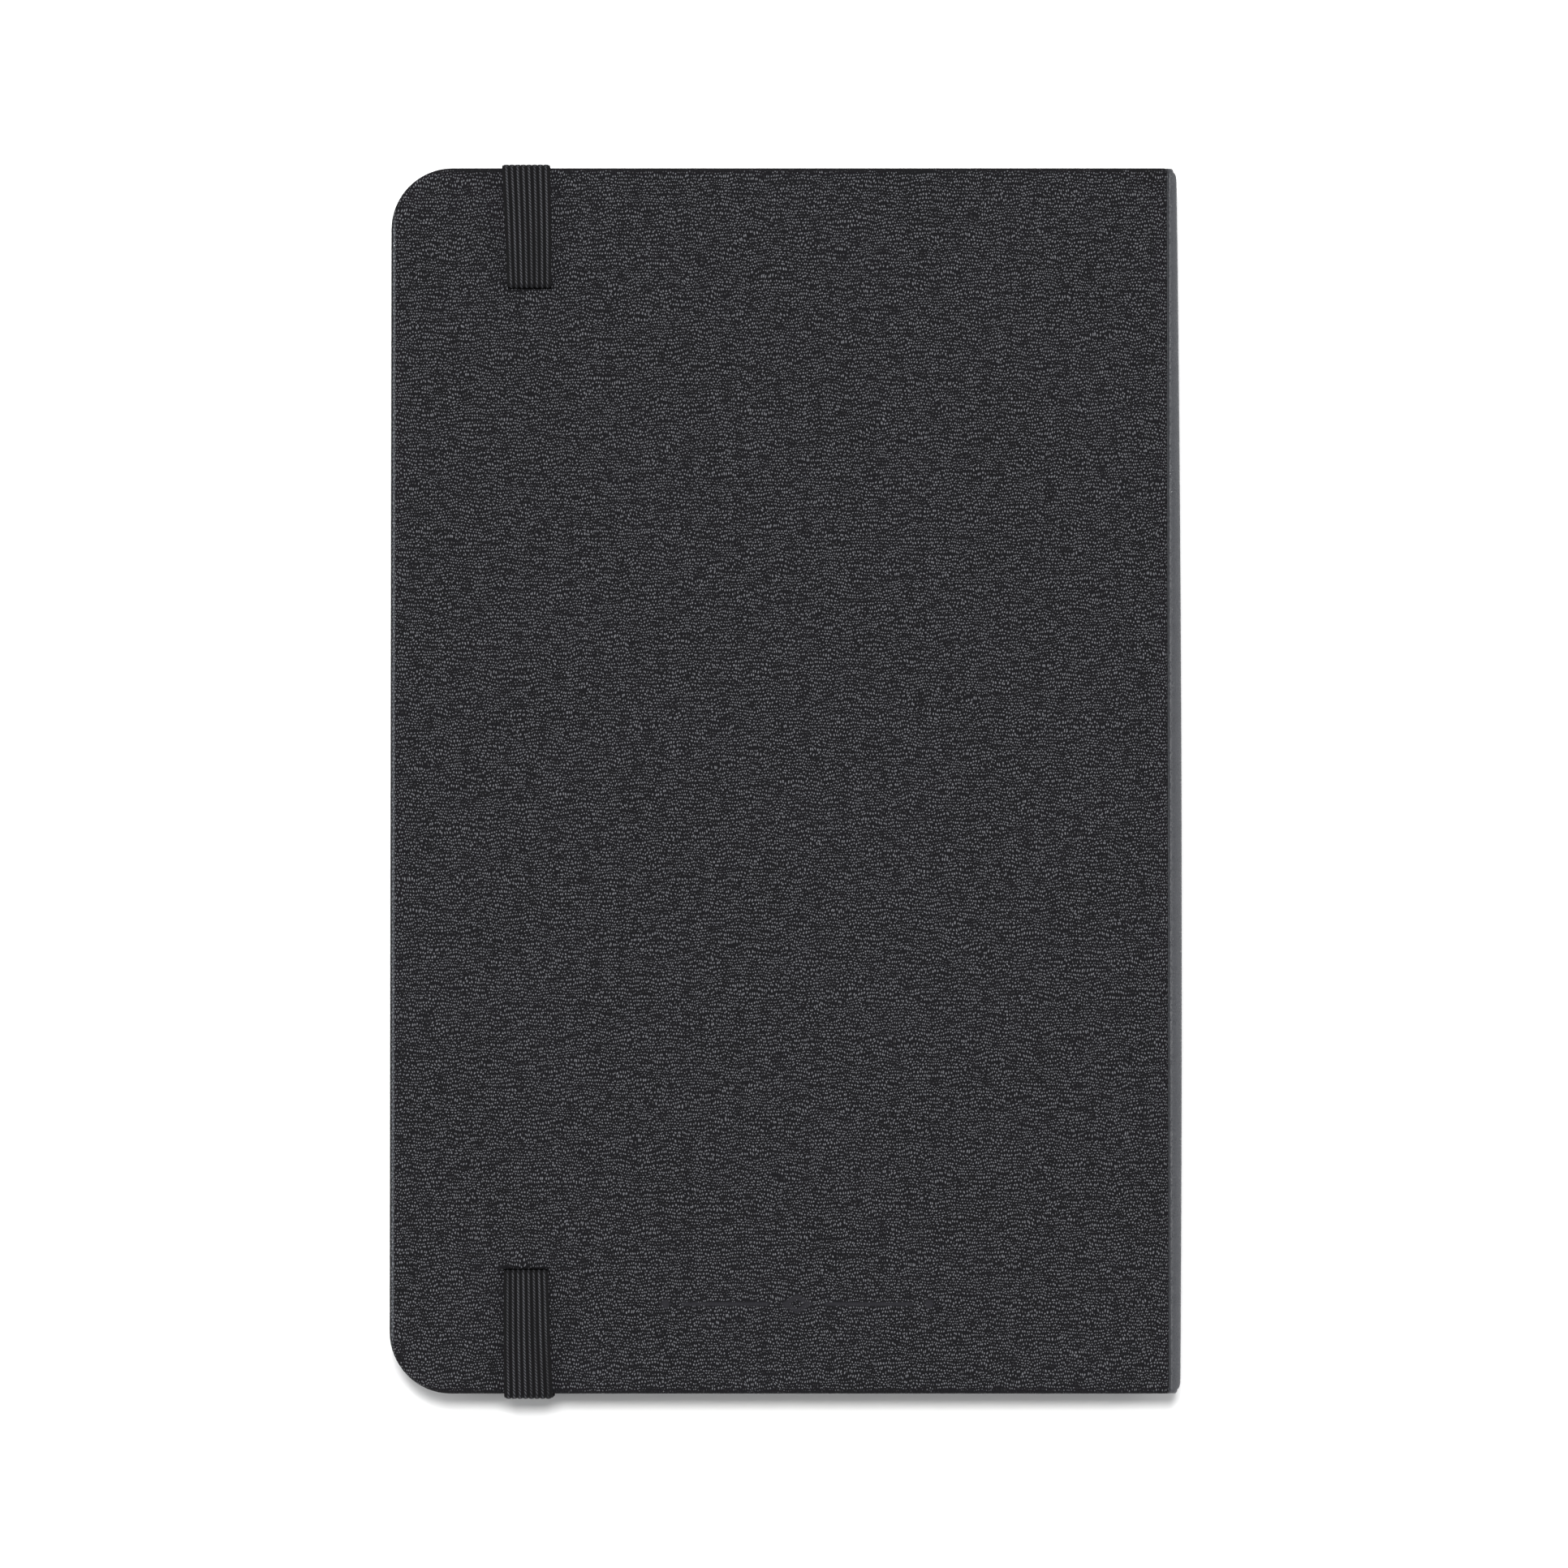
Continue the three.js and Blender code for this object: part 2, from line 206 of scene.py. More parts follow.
class Nodes:
    """A short way to write a procedural material."""

    def __init__(self, name):
        self.material = bpy.data.materials.new(name)
        self.material.use_nodes = True
        self.tree = self.material.node_tree
        self.shader = self.tree.nodes["Principled BSDF"]

    def node(self, kind, inputs=None, **settings):
        made = self.tree.nodes.new(kind)
        for key, value in settings.items():
            setattr(made, key, value)
        for key, value in (inputs or {}).items():
            self.put(made.inputs[key], value)
        return made

    def put(self, socket, value):
        if isinstance(value, bpy.types.NodeSocket):
            self.tree.links.new(value, socket)
        else:
            socket.default_value = value

    def shade(self, name, value):
        self.put(self.shader.inputs[name], value)

    def math(self, operation, *values):
        made = self.node("ShaderNodeMath", operation=operation)
        for socket, value in zip(made.inputs, values):
            self.put(socket, value)
        return made.outputs[0]

    def times(self, a, b):
        return self.math("MULTIPLY", a, b)

    def vector(self, x, y, z=0.0):
        return self.node("ShaderNodeCombineXYZ", {"X": x, "Y": y, "Z": z}).outputs[0]

    def stretched(self, where, x, y):
        inputs = {0: where, 1: (x, y, 1.0)}
        return self.node("ShaderNodeVectorMath", inputs, operation="MULTIPLY").outputs[0]

    def noise(self, where, scale, detail=2.0, roughness=0.5):
        inputs = {"Vector": where, "Scale": scale, "Detail": detail, "Roughness": roughness}
        return self.node("ShaderNodeTexNoise", inputs).outputs["Fac"]

    def ramp(self, value, low, high, start=0.0, end=1.0):
        """A value mapped from start..end onto low..high, which are colours or numbers."""
        if isinstance(low, tuple) or isinstance(high, tuple):
            made = self.node("ShaderNodeMix", data_type="RGBA")
            self.put(made.inputs[0], self.between(value, start, end))
            for socket, colour in ((made.inputs[6], low), (made.inputs[7], high)):
                self.put(socket, (*colour, 1) if isinstance(colour, tuple) else colour)
            return made.outputs[2]
        inputs = {"Value": value, "From Min": start, "From Max": end, "To Min": low, "To Max": high}
        return self.node("ShaderNodeMapRange", inputs).outputs[0]

    def between(self, value, start, end):
        inputs = {"Value": value, "From Min": start, "From Max": end}
        return self.node("ShaderNodeMapRange", inputs, interpolation_type="SMOOTHSTEP").outputs[0]

    def bump(self, height, distance, normal=None):
        """Bumps of a height from 0 to 1 that stand distance millimetres."""
        made = self.node("ShaderNodeBump", {"Height": height, "Strength": 1.0})
        made.inputs["Distance"].default_value = distance * MM
        if normal is not None:
            self.put(made.inputs["Normal"], normal)
        return made.outputs[0]

    def surface_uv(self):
        split = self.node("ShaderNodeSeparateXYZ")
        uv = self.node("ShaderNodeUVMap", uv_map="surface")
        self.put(split.inputs[0], uv.outputs[0])
        return split.outputs[0], split.outputs[1]

    def place(self):
        return self.node("ShaderNodeTexCoord").outputs["Object"]


GRAIN_COLUMN, GRAIN_ROW = 0.285, 0.39  # pitch of the domes across and up the cover
GRAIN_HEIGHT = 0.10
DOME_JITTER = 0.46  # range of a dome's shift, as a share of the pitch
RUBBED_HIGHLIGHT_X = FORE_EDGE + 0.34  # the fore-edge is rubbed smooth here, with a painted highlight line along it
PRESSED_GRAIN = 0.45  # share of the grain's height that is left where it is pressed


def leatherette():
    """Black coated cloth, embossed with small domes in wavy rows laid like bricks."""
    n = Nodes("black_leatherette")
    u, v = n.surface_uv()
    flat = n.vector(u, v)
    wave = n.noise(flat, 330.0, 2.0)
    sway = n.noise(n.vector(v, u, 3.0), 400.0, 2.0)
    v_wavy = n.math("ADD", n.math("DIVIDE", v, GRAIN_ROW * MM), n.times(wave, 4.2))
    row = n.math("FLOOR", v_wavy)
    odd = n.times(n.math("FLOORED_MODULO", row, 2.0), 0.5)
    u_wavy = n.math("ADD", n.math("DIVIDE", u, GRAIN_COLUMN * MM), n.times(sway, 3.0))
    u_laid = n.math("ADD", u_wavy, odd)
    column = n.math("FLOOR", u_laid)
    cell = n.node("ShaderNodeTexWhiteNoise", {"Vector": n.vector(column, row)})
    chance = n.node("ShaderNodeSeparateColor", {"Color": cell.outputs["Color"]})

    def from_middle(value, jitter, half_width):
        inside = n.math("SUBTRACT", n.math("FRACT", value), 0.5)
        moved = n.math("MULTIPLY_ADD", n.math("SUBTRACT", jitter, 0.5), DOME_JITTER, inside)
        return n.math("POWER", n.math("DIVIDE", moved, half_width), 2.0)

    across = from_middle(u_laid, chance.outputs[0], 0.40)
    along = from_middle(v_wavy, chance.outputs[1], 0.44)
    dome = n.math("SUBTRACT", 1.0, n.math("ADD", across, along))
    dome = n.math("MAXIMUM", dome, 0.0)
    tall = n.math("MULTIPLY_ADD", chance.outputs[2], 0.40, 0.70)
    streak = n.noise(n.stretched(flat, 0.45, 1.0), 1500.0, 2.0)
    tall = n.times(tall, n.ramp(streak, 0.62, 1.36, 0.33, 0.67))
    grain = n.times(dome, tall)
    # the grain is pressed lower on the shoulder, on the rounded edges and in the mark
    on_shoulder = n.times(n.between(u, (CREASE + 0.42) * MM, (CREASE + 0.60) * MM),
                          n.between(u, (CREASE + 3.6) * MM, (CREASE + 2.0) * MM))
    on_cover = n.math("SUBTRACT", 1.0, on_shoulder)
    off_edge = n.between(n.math("ABSOLUTE", v), HEAD_EDGE * MM, (HEAD_EDGE - 0.9) * MM)
    inside_fore = n.between(u, FORE_EDGE * MM, (FORE_EDGE + 0.5) * MM)
    mark = n.node("ShaderNodeAttribute", attribute_name="blind_mark").outputs["Fac"]
    pressed = n.times(n.times(on_cover, off_edge), inside_fore)
    pressed = n.times(pressed, n.math("SUBTRACT", 1.0, mark))
    pressed = n.math("MULTIPLY_ADD", pressed, 1 - PRESSED_GRAIN, PRESSED_GRAIN)
    height = n.times(grain, pressed)
    pores = n.noise(flat, 9000.0, 3.0, 0.6)
    fine = n.bump(pores, 0.006)
    n.shade("Normal", n.bump(height, GRAIN_HEIGHT, fine))
    mottle = n.noise(flat, 95.0, 4.0, 0.6)
    crest = n.between(height, 0.36, 0.84)
    dark = n.ramp(mottle, (0.0026, 0.0025, 0.0034), (0.0046, 0.0043, 0.0056), 0.3, 0.7)
    dark = n.ramp(mark, dark, (0.0150, 0.0145, 0.0175))
    off_rub_and_highlight = n.math("ABSOLUTE", n.math("SUBTRACT", u, RUBBED_HIGHLIGHT_X * MM))
    rub_and_highlight = n.between(off_rub_and_highlight, 0.28 * MM, 0.05 * MM)
    straight = n.between(n.math("ABSOLUTE", v), (HEAD_EDGE - 4.0) * MM, (HEAD_EDGE - 7.5) * MM)
    rub_and_highlight = n.times(n.times(rub_and_highlight, straight), n.math("MULTIPLY_ADD", dome, 0.75, 0.35))
    # painted highlight: the colour is lightened in a line along the straight fore-edge, where the rounded edge
    # catches the side light
    dark = n.ramp(rub_and_highlight, dark, (0.1100, 0.1170, 0.1280))
    # on the shoulder the colour is lightened: painted sheen for the light from the spine side, besides its real
    # lower roughness
    dark = n.ramp(on_cover, (0.0450, 0.0465, 0.0515), dark)
    # the dome tops get a lighter colour: a painted highlight on each dome, added to the real glints from their
    # lower roughness
    n.shade("Base Color", n.ramp(crest, dark, (0.092, 0.093, 0.102)))
    rough = n.ramp(height, 0.95, 0.30, 0.20, 0.60)
    smooth_places = n.math("ADD", n.ramp(on_cover, 0.50, 0.0), n.times(rub_and_highlight, 0.4))
    rough = n.math("SUBTRACT", rough, smooth_places)
    rough = n.math("ADD", rough, n.ramp(mottle, -0.05, 0.05, 0.3, 0.7))
    n.shade("Roughness", rough)
    n.shader.inputs["Specular IOR Level"].default_value = 0.18
    return n.material


TWIST_PITCH = 0.36  # of the threads along a rib


def woven_elastic():
    """Black braided elastic: twisted threads along each rib."""
    n = Nodes("black_elastic")
    u, v = n.surface_uv()
    slant = n.math("ADD", n.times(u, 1.1), v)
    twist = n.math("SINE", n.times(slant, math.tau / (TWIST_PITCH * MM)))
    thread = n.math("MULTIPLY_ADD", twist, 0.5, 0.5)
    in_ribs = n.math("DIVIDE", n.math("ADD", u, RIBBED_HALF * MM), RIB_PITCH * MM)
    rib = n.math("SINE", n.times(n.math("FRACT", in_ribs), math.pi))
    loose = n.noise(n.vector(u, v), 2600.0, 3.0, 0.6)
    crest = n.between(rib, 0.62, 1.0)
    ribbed = n.between(n.math("ABSOLUTE", u), (STRAP_HALF_WIDTH - 0.09) * MM,
                       (STRAP_HALF_WIDTH - 0.21) * MM)
    crest = n.times(crest, ribbed)
    # the ribs catch the light unevenly, each in its own way
    uneven_highlight = n.noise(n.vector(n.times(n.math("FLOOR", in_ribs), 0.37), v), 55.0, 3.0, 0.6)
    crest = n.times(crest, n.ramp(uneven_highlight, 0.45, 1.15, 0.33, 0.62))
    threads = n.math("MULTIPLY_ADD", thread, 0.8, n.times(loose, 0.4))
    lit = n.times(crest, threads)
    n.shade("Normal", n.bump(n.math("ADD", lit, rib), 0.05))
    # the rib crests are painted lighter, with the threads' twist in them: a painted highlight over the black
    # elastic
    dark, light = (0.0022, 0.0021, 0.0026), (0.046, 0.047, 0.053)
    n.shade("Base Color", n.ramp(lit, dark, light, 0.1, 1.1))
    n.shade("Roughness", n.ramp(lit, 0.95, 0.42))
    n.shader.inputs["Specular IOR Level"].default_value = 0.2
    return n.material


def paper(name, light, dark):
    """Uncoated paper: faint fibres and cloudiness."""
    n = Nodes(name)
    where = n.place()
    cloud = n.noise(where, 60.0, 4.0, 0.6)
    fibres = n.noise(n.stretched(where, 1.0, 3.0), 1500.0, 4.0, 0.7)
    tone = n.math("MULTIPLY_ADD", fibres, 0.5, n.times(cloud, 0.5))
    n.shade("Base Color", n.ramp(tone, dark, light, 0.35, 0.65))
    n.shade("Roughness", n.ramp(fibres, 0.72, 0.88))
    n.shade("Normal", n.bump(fibres, 0.02))
    return n.material


def grey_board():
    """Pressed grey board with pulp flecks."""
    n = Nodes("grey_board")
    where = n.place()
    pulp = n.noise(where, 900.0, 5.0, 0.7)
    flecks = n.node("ShaderNodeTexVoronoi", {"Vector": where, "Scale": 700.0}).outputs["Distance"]
    tone = n.math("MULTIPLY_ADD", flecks, 0.4, n.times(pulp, 0.7))
    dark, light = (0.20, 0.18, 0.155), (0.34, 0.315, 0.275)
    n.shade("Base Color", n.ramp(tone, dark, light, 0.3, 0.8))
    n.shade("Roughness", n.ramp(pulp, 0.8, 0.95))
    n.shade("Normal", n.bump(pulp, 0.05))
    return n.material


def cloth(name, light, dark, pitch, gap=0.0):
    """Plain weave of threads a pitch apart, in millimetres, with dark gaps between them."""
    n = Nodes(name)
    split = n.node("ShaderNodeSeparateXYZ")
    n.put(split.inputs[0], n.place())
    turn = math.tau / (pitch * MM)
    across = n.math("SINE", n.times(split.outputs[0], turn))
    along_at = n.math("ADD", split.outputs[1], split.outputs[2])
    along = n.math("SINE", n.times(along_at, turn))
    weave = n.math("MULTIPLY_ADD", n.times(across, along), 0.5, 0.5)
    fuzz = n.noise(n.place(), 3000.0, 3.0, 0.6)
    height = n.math("MULTIPLY_ADD", fuzz, 0.3, weave)
    n.shade("Base Color", n.ramp(height, dark, light, 0.1 + gap, 1.1))
    n.shade("Roughness", n.ramp(fuzz, 0.75, 0.92))
    n.shade("Normal", n.bump(height, 0.05))
    return n.material


RIBBON_RIB, RIBBON_WARP = 0.30, 0.16  # pitch of the ribbon's crosswise ribs and of its threads


def satin_ribbon():
    """Narrow woven ribbon: fine crosswise ribs with a soft sheen."""
    n = Nodes("black_ribbon")
    u, v = n.surface_uv()
    ribs = n.math("SINE", n.times(v, math.tau / (RIBBON_RIB * MM)))
    warp = n.math("SINE", n.times(u, math.tau / (RIBBON_WARP * MM)))
    height = n.math("MULTIPLY_ADD", warp, 0.15, n.math("MULTIPLY_ADD", ribs, 0.35, 0.5))
    dark, light = (0.008, 0.008, 0.009), (0.022, 0.022, 0.025)
    n.shade("Base Color", n.ramp(height, dark, light))
    n.shade("Roughness", n.ramp(height, 0.55, 0.38))
    n.shade("Normal", n.bump(height, 0.03))
    n.shader.inputs["Sheen Weight"].default_value = 0.2
    return n.material


PLY_PITCH = 0.4  # of the sewing thread's twist


def twisted_thread():
    """Linen sewing thread, laid from plies."""
    n = Nodes("linen_thread")
    split = n.node("ShaderNodeSeparateXYZ")
    n.put(split.inputs[0], n.place())
    slant = n.math("ADD", split.outputs[1], split.outputs[2])
    ply = n.math("SINE", n.times(slant, math.tau / (PLY_PITCH * MM)))
    height = n.math("MULTIPLY_ADD", ply, 0.5, 0.5)
    n.shade("Base Color", n.ramp(height, (0.62, 0.60, 0.54), (0.86, 0.85, 0.80)))
    n.shade("Normal", n.bump(height, 0.05))
    n.shade("Roughness", n.ramp(height, 0.8, 0.65))
    return n.material


MATERIALS = {
    "leatherette": leatherette(),
    "elastic": woven_elastic(),
    "endpaper": paper("ivory_endpaper", (0.49, 0.455, 0.375), (0.455, 0.42, 0.34)),
    "page_paper": paper("ivory_pages", (0.50, 0.47, 0.395), (0.465, 0.435, 0.36)),
    "grey_board": grey_board(),
    "mull": cloth("mull_gauze", (0.74, 0.71, 0.62), (0.30, 0.28, 0.24), 0.9, 0.15),
    "pocket_cloth": cloth("black_bookcloth", (0.030, 0.030, 0.033), (0.008, 0.008, 0.009), 0.36),
    "ribbon": satin_ribbon(),
    "sewing_thread": twisted_thread(),
}

# CAD nodes whose shape is right keep it and get a better material
SLOT_OF = {s["node"]: s["material_slot"] for s in frame["record"]["subparts"]}
for node, shape in frame["nodes"].items():
    shape.data.materials.clear()
    shape.data.materials.append(MATERIALS[SLOT_OF[node]])

# ---- Case skin ----

CORNER = 7.0  # radius of the fore-edge corners in plan
EDGE = 0.5  # radius over the board's edges
TURN_IN = 5.0  # the rest of the turn-in lies hidden under the pastedown
SKIN = 0.22
COVER_END = CREASE - 0.25  # where the flat of the cover ends and the joint starts
SHOULDER = CREASE + 0.60  # where the groove of the joint ends and the spine's shoulder starts
SLOT_HALF_LENGTH = 2.48
SLOT_HALF_WIDTH = 0.38
MARK_X, MARK_Y = 1.4, -59.8  # middle of the blind-pressed ornament
MARK_HALF_LENGTH = 15.0
MARK_PRESS = 0.12
# the back cover's mesh is fine between each pair of these places
SLOTS_X, MARK_ALONG_X = (-34.2, -25.2), (-15.4, 18.2)
MARK_Y_BAND, TAIL_SLOT_BAND, HEAD_SLOT_BAND = (-61.2, -58.5), (-57.8, -51.5), (51.5, 59.5)
SLOT_DIP = 0.24  # of the skin at a slot's lips
SLOT_SWELL = 0.22  # of the skin on the side that the strap pulls on
SLOT_RIPPLE = 0.045
SPINE_AT_TAIL, SPINE_AT_HEAD = 45.06, 44.84
SPINE_BOW = 0.36
SPINE_CROWN = 0.06  # of its face, between the two covers
SPINE_DEPTH = 1.12  # from its face in to the turned-in skin
JOINT_RIDGE = 0.03  # beside the groove, at the cover's end
JOINT_GROOVE = 0.34
JOINT_FALL = 0.10  # from the cover's face down to the start of the shoulder
LINING_DROP = 0.5  # how much deeper the turn-in lies at the spine than under a board
INNER_EDGE = 0.35  # radius over the board's inner edges


def spine_reach(y):
    """Where the spine's outer face stands at a height: it bows out between head and tail."""
    share = (np.asarray(y) + HEAD_EDGE) / (2 * HEAD_EDGE)
    straight = SPINE_AT_TAIL + (SPINE_AT_HEAD - SPINE_AT_TAIL) * share
    bow = SPINE_BOW * (1 - (2 * share - 1) ** 2)
    at_end = np.clip((np.abs(y) - HEAD_EDGE + 1.5) / 1.0, 0, 1)
    return straight + bow - SPINE_BOW * (1 - np.sqrt(1 - at_end**2))


def fore_edge_at(y, left, radius, half_height):
    """Where an outline with rounded fore-edge corners stands at a height."""
    past = np.clip(np.abs(y) - (half_height - radius), 0, radius)
    return left + radius - np.sqrt(np.maximum(radius**2 - past**2, 0))


def corner_rows(half_height, radius, steps):
    """Heights that follow a rounded corner evenly, from its start to the head edge."""
    angles = np.linspace(0, math.pi / 2, steps + 1)
    return half_height - radius + radius * np.sin(angles)


def with_lines(values, lines):
    """The values, with the nearest one moved onto each line."""
    values = np.array(values, float)
    for line in lines:
        values[np.argmin(np.abs(values - line))] = line
    return values


def slot_relief(x, y, slot_x, slot, way):
    """How the skin dips into a slot and puckers on the side that the strap pulls on."""
    dx = np.maximum(np.abs(x - slot_x) - SLOT_HALF_LENGTH, 0)
    dy = np.maximum(np.abs(y - slot) - SLOT_HALF_WIDTH, 0)
    away = np.hypot(dx, dy)
    dip = -SLOT_DIP * np.clip(1 - away / 0.55, 0, 1) ** 2
    below = (slot - y) * way  # towards the middle of the book
    angle = np.arctan2(x - slot_x, below + 1.5)
    swell = np.exp(-(((below - 1.9) / 1.3) ** 2) - ((x - slot_x) / 3.2) ** 2)
    ripple = np.cos(angle * 15) * np.exp(-away / 1.7) * np.clip(away / 0.5, 0, 1)
    return dip + SLOT_SWELL * swell + SLOT_RIPPLE * ripple * (below > -0.6)


def mark_depth(x, y):
    """A generic blind-pressed ornament: a rule with a lozenge at its middle and a dot each end.

    Returns 1 where it is pressed in and 0 off it.
    """
    dx, dy = np.abs(x - MARK_X), np.abs(y - MARK_Y)
    rule = smoothstep((0.30 - dy) / 0.18) * smoothstep((MARK_HALF_LENGTH - 1.6 - dx) / 0.3)
    rule = rule * smoothstep((dx - 3.0) / 0.3)
    lozenge = smoothstep((1.0 - (dx / 2.0 + dy / 1.25)) / 0.16)
    hollow = smoothstep((0.52 - (dx / 2.0 + dy / 1.25)) / 0.16)
    dot = smoothstep((0.62 - np.hypot(dx - MARK_HALF_LENGTH, dy)) / 0.22)
    return np.clip(rule + lozenge - hollow + dot, 0, 1)


def case_profile(y, with_spine, joint_steps=14, shoulder_steps=9, spine_steps=8):
    """The joint at one height and, for the back, the spine as far as the front's joint.

    Returns rows of [x, depth below the cover's face, inner x, inner depth].
    """
    reach = float(spine_reach(y))
    x = np.linspace(COVER_END, SHOULDER, joint_steps + 1)[1:]
    ridge = -JOINT_RIDGE * np.exp(-(((x - CREASE - 0.05) / 0.12) ** 2))
    groove = JOINT_GROOVE * np.exp(-(((x - CREASE - 0.34) / 0.11) ** 2))
    fall = JOINT_FALL * smoothstep((x - CREASE - 0.2) / 0.40)
    joint_part = np.column_stack([x, ridge + groove + fall])
    radius = reach - SHOULDER
    angle = np.linspace(0, math.pi / 2, shoulder_steps + 1)[1:]
    shoulder_part = np.column_stack(
        [SHOULDER + radius * np.sin(angle), JOINT_FALL + radius * (1 - np.cos(angle))])
    down = np.linspace(JOINT_FALL + radius, HALF_THICKNESS, spine_steps + 1)[1:]
    share = (down - JOINT_FALL - radius) / (HALF_THICKNESS - JOINT_FALL - radius)
    crown = SPINE_CROWN * np.sin(share * math.pi / 2)
    spine_part = np.column_stack([reach + crown, down])
    inner_x = reach - SPINE_DEPTH
    turning = np.linspace(0, 1, joint_steps + shoulder_steps + 1)[1:]
    inner_turn = np.column_stack([
        COVER_END + (inner_x - COVER_END) * turning,
        COVER_THICKNESS + LINING_DROP * smoothstep(turning)])
    if not with_spine:
        return np.column_stack([joint_part, inner_turn[:joint_steps]])
    behind = COVER_THICKNESS + LINING_DROP
    inner_down = np.maximum(down, behind + 0.01 * np.arange(1, spine_steps + 1))
    inner_spine = np.column_stack([np.full(spine_steps, inner_x), inner_down])
    inner_spine[-1, 1] = HALF_THICKNESS
    half = np.column_stack([np.concatenate([shoulder_part, spine_part]),
                            np.concatenate([inner_turn[joint_steps:], inner_spine])])
    other_half = half[-2::-1] * (1, -1, 1, -1) + (0, 2 * HALF_THICKNESS, 0, 2 * HALF_THICKNESS)
    joint_part = np.column_stack([joint_part, inner_turn[:joint_steps]])
    return np.concatenate([joint_part, half, other_half])


def case_skin(name, back):
    """A cover's leatherette with its joint, folded from one sheet.

    The back cover's runs on round the spine as far as the front's joint.
    """
    left, half = FORE_EDGE + EDGE, HEAD_EDGE - EDGE
    radius = CORNER - EDGE
    corner = corner_rows(half, radius, 16)
    if back:
        flat = spread([left, *SLOTS_X, *MARK_ALONG_X, COVER_END - 0.6, COVER_END],
                      [0.8, 0.25, 0.9, 0.26, 0.9, 0.15])
        flat = with_lines(flat, [middle + way * SLOT_HALF_LENGTH for middle, _, _ in SLOTS
                                 for way in (-1, 1)])
        stops = [-corner[0], *MARK_Y_BAND, *TAIL_SLOT_BAND, *HEAD_SLOT_BAND, corner[0]]
        rows = spread(stops, [0.6, 0.11, 0.35, 0.22, 3.0, 0.22, 0.8])
        rows = with_lines(rows, [s + d for s in (HEAD_SLOT, TAIL_SLOT)
                                 for d in (-SLOT_HALF_WIDTH, SLOT_HALF_WIDTH)])
    else:
        flat = spread([left, COVER_END - 0.6, COVER_END], [1.6, 0.15])
        rows = spread([-corner[0], corner[0]], [3.0])
    rows = np.concatenate([-corner[:0:-1], rows, corner[1:]])
    share = (flat - left) / (COVER_END - left)
    profiles = [case_profile(y, back) for y in rows]
    first, count = len(flat), len(flat) + len(profiles[0])

    outer, inner, uvs = [], [], []
    for y, profile in zip(rows, profiles):
        start = fore_edge_at(y, left, radius, half)
        x = start + share * (COVER_END - start)
        depth = np.zeros_like(x)
        if back:
            depth -= sum(slot_relief(x, y, *slot) for slot in SLOTS)
            depth += MARK_PRESS * mark_depth(x, y)
        around = np.concatenate([np.column_stack([x, depth]), profile[:, :2]])
        within = np.concatenate([
            np.column_stack([x, np.full_like(x, COVER_THICKNESS)]), profile[:, 2:]])
        run = np.concatenate([[0], np.cumsum(np.hypot(*np.diff(around[first - 1:], axis=0).T))])
        u = np.concatenate([x, x[-1] + run[1:]])
        outer.append(np.column_stack([around[:, 0], np.full(count, y), around[:, 1]]))
        inner.append(np.column_stack([within[:, 0], np.full(count, y), within[:, 1]]))
        uvs.append(np.column_stack([u, np.full(count, y)]))
    outer, inner, uvs = (np.concatenate(a) for a in (outer, inner, uvs))

    faces = []
    for quad in grid_faces(len(rows), count):
        middle = outer[list(quad)].mean(0)
        if not (back and in_slot(*middle[:2])):
            faces.append(quad)

    # the outline from the spine along the head, down the fore-edge and back along the tail
    last = len(rows) - 1
    head = [last * count + c for c in range(count - 1, -1, -1)]
    fore = [r * count for r in range(last - 1, 0, -1)]
    tail = list(range(count))
    chain = head + fore + tail
    outward = []
    for index in chain:
        x, y = outer[index][:2]
        turn = min(max(abs(y) - (half - radius), 0) / radius, 1)
        at_fore = index % count == 0
        sine = turn if at_fore else 1.0
        outward.append([-math.sqrt(max(1 - sine**2, 0)), math.copysign(sine, y), 0])
    outward = np.array(outward)
    ring_outer, ring_inner, ring_uv = outer[chain], inner[chain], uvs[chain]
    total = COVER_THICKNESS
    arc = np.linspace(0, math.pi / 2, 6)[1:]
    rings = [(EDGE * math.sin(a), EDGE * (1 - math.cos(a))) for a in arc]
    rings += [(EDGE, total / 2), (EDGE, total - INNER_EDGE)]
    rings += [(EDGE - INNER_EDGE * (1 - math.cos(a)), total - INNER_EDGE * (1 - math.sin(a)))
              for a in arc[1:]]
    rings += [(-1.0, total), (EDGE - TURN_IN, total)]
    points, all_uv = [outer], [uvs]
    before, travelled = np.array(chain), 0.0
    total_points, previous = len(outer), (0.0, 0.0)
    for out, depth in rings:
        ring = ring_outer + outward * out + (ring_inner - ring_outer) * (depth / total)
        travelled += math.hypot(out - previous[0], depth - previous[1])
        previous = (out, depth)
        points.append(ring)
        all_uv.append(ring_uv + outward[:, :2] * travelled)
        now = np.arange(total_points, total_points + len(chain))
        for k in range(len(chain) - 1):
            faces.append((int(before[k]), int(now[k]), int(now[k + 1]), int(before[k + 1])))
        before, total_points = now, total_points + len(chain)
    points, all_uv = np.concatenate(points), np.concatenate(all_uv)
    points[:, 2] = BACK_FACE - points[:, 2] if back else FRONT_FACE + points[:, 2]
    if not back:
        faces = [face[::-1] for face in faces]
    skin = make_object(name, points, faces, all_uv)
    if back:
        mark = skin.data.attributes.new("blind_mark", "FLOAT", "POINT")
        on_face = points[:, 2] > BACK_FACE - 0.5
        shares = mark_depth(points[:, 0], points[:, 1]) * on_face
        mark.data.foreach_set("value", shares.astype(np.float32))
        line_slots(skin)
    thicken(skin, SKIN)
    return skin


def in_slot(x, y, play=0.0):
    """Whether a point is over one of the cover's slots, in millimetres."""
    length, width = SLOT_HALF_LENGTH + play, SLOT_HALF_WIDTH + play
    return any(abs(x - slot_x) < length and abs(y - slot) < width for slot_x, slot, _ in SLOTS)


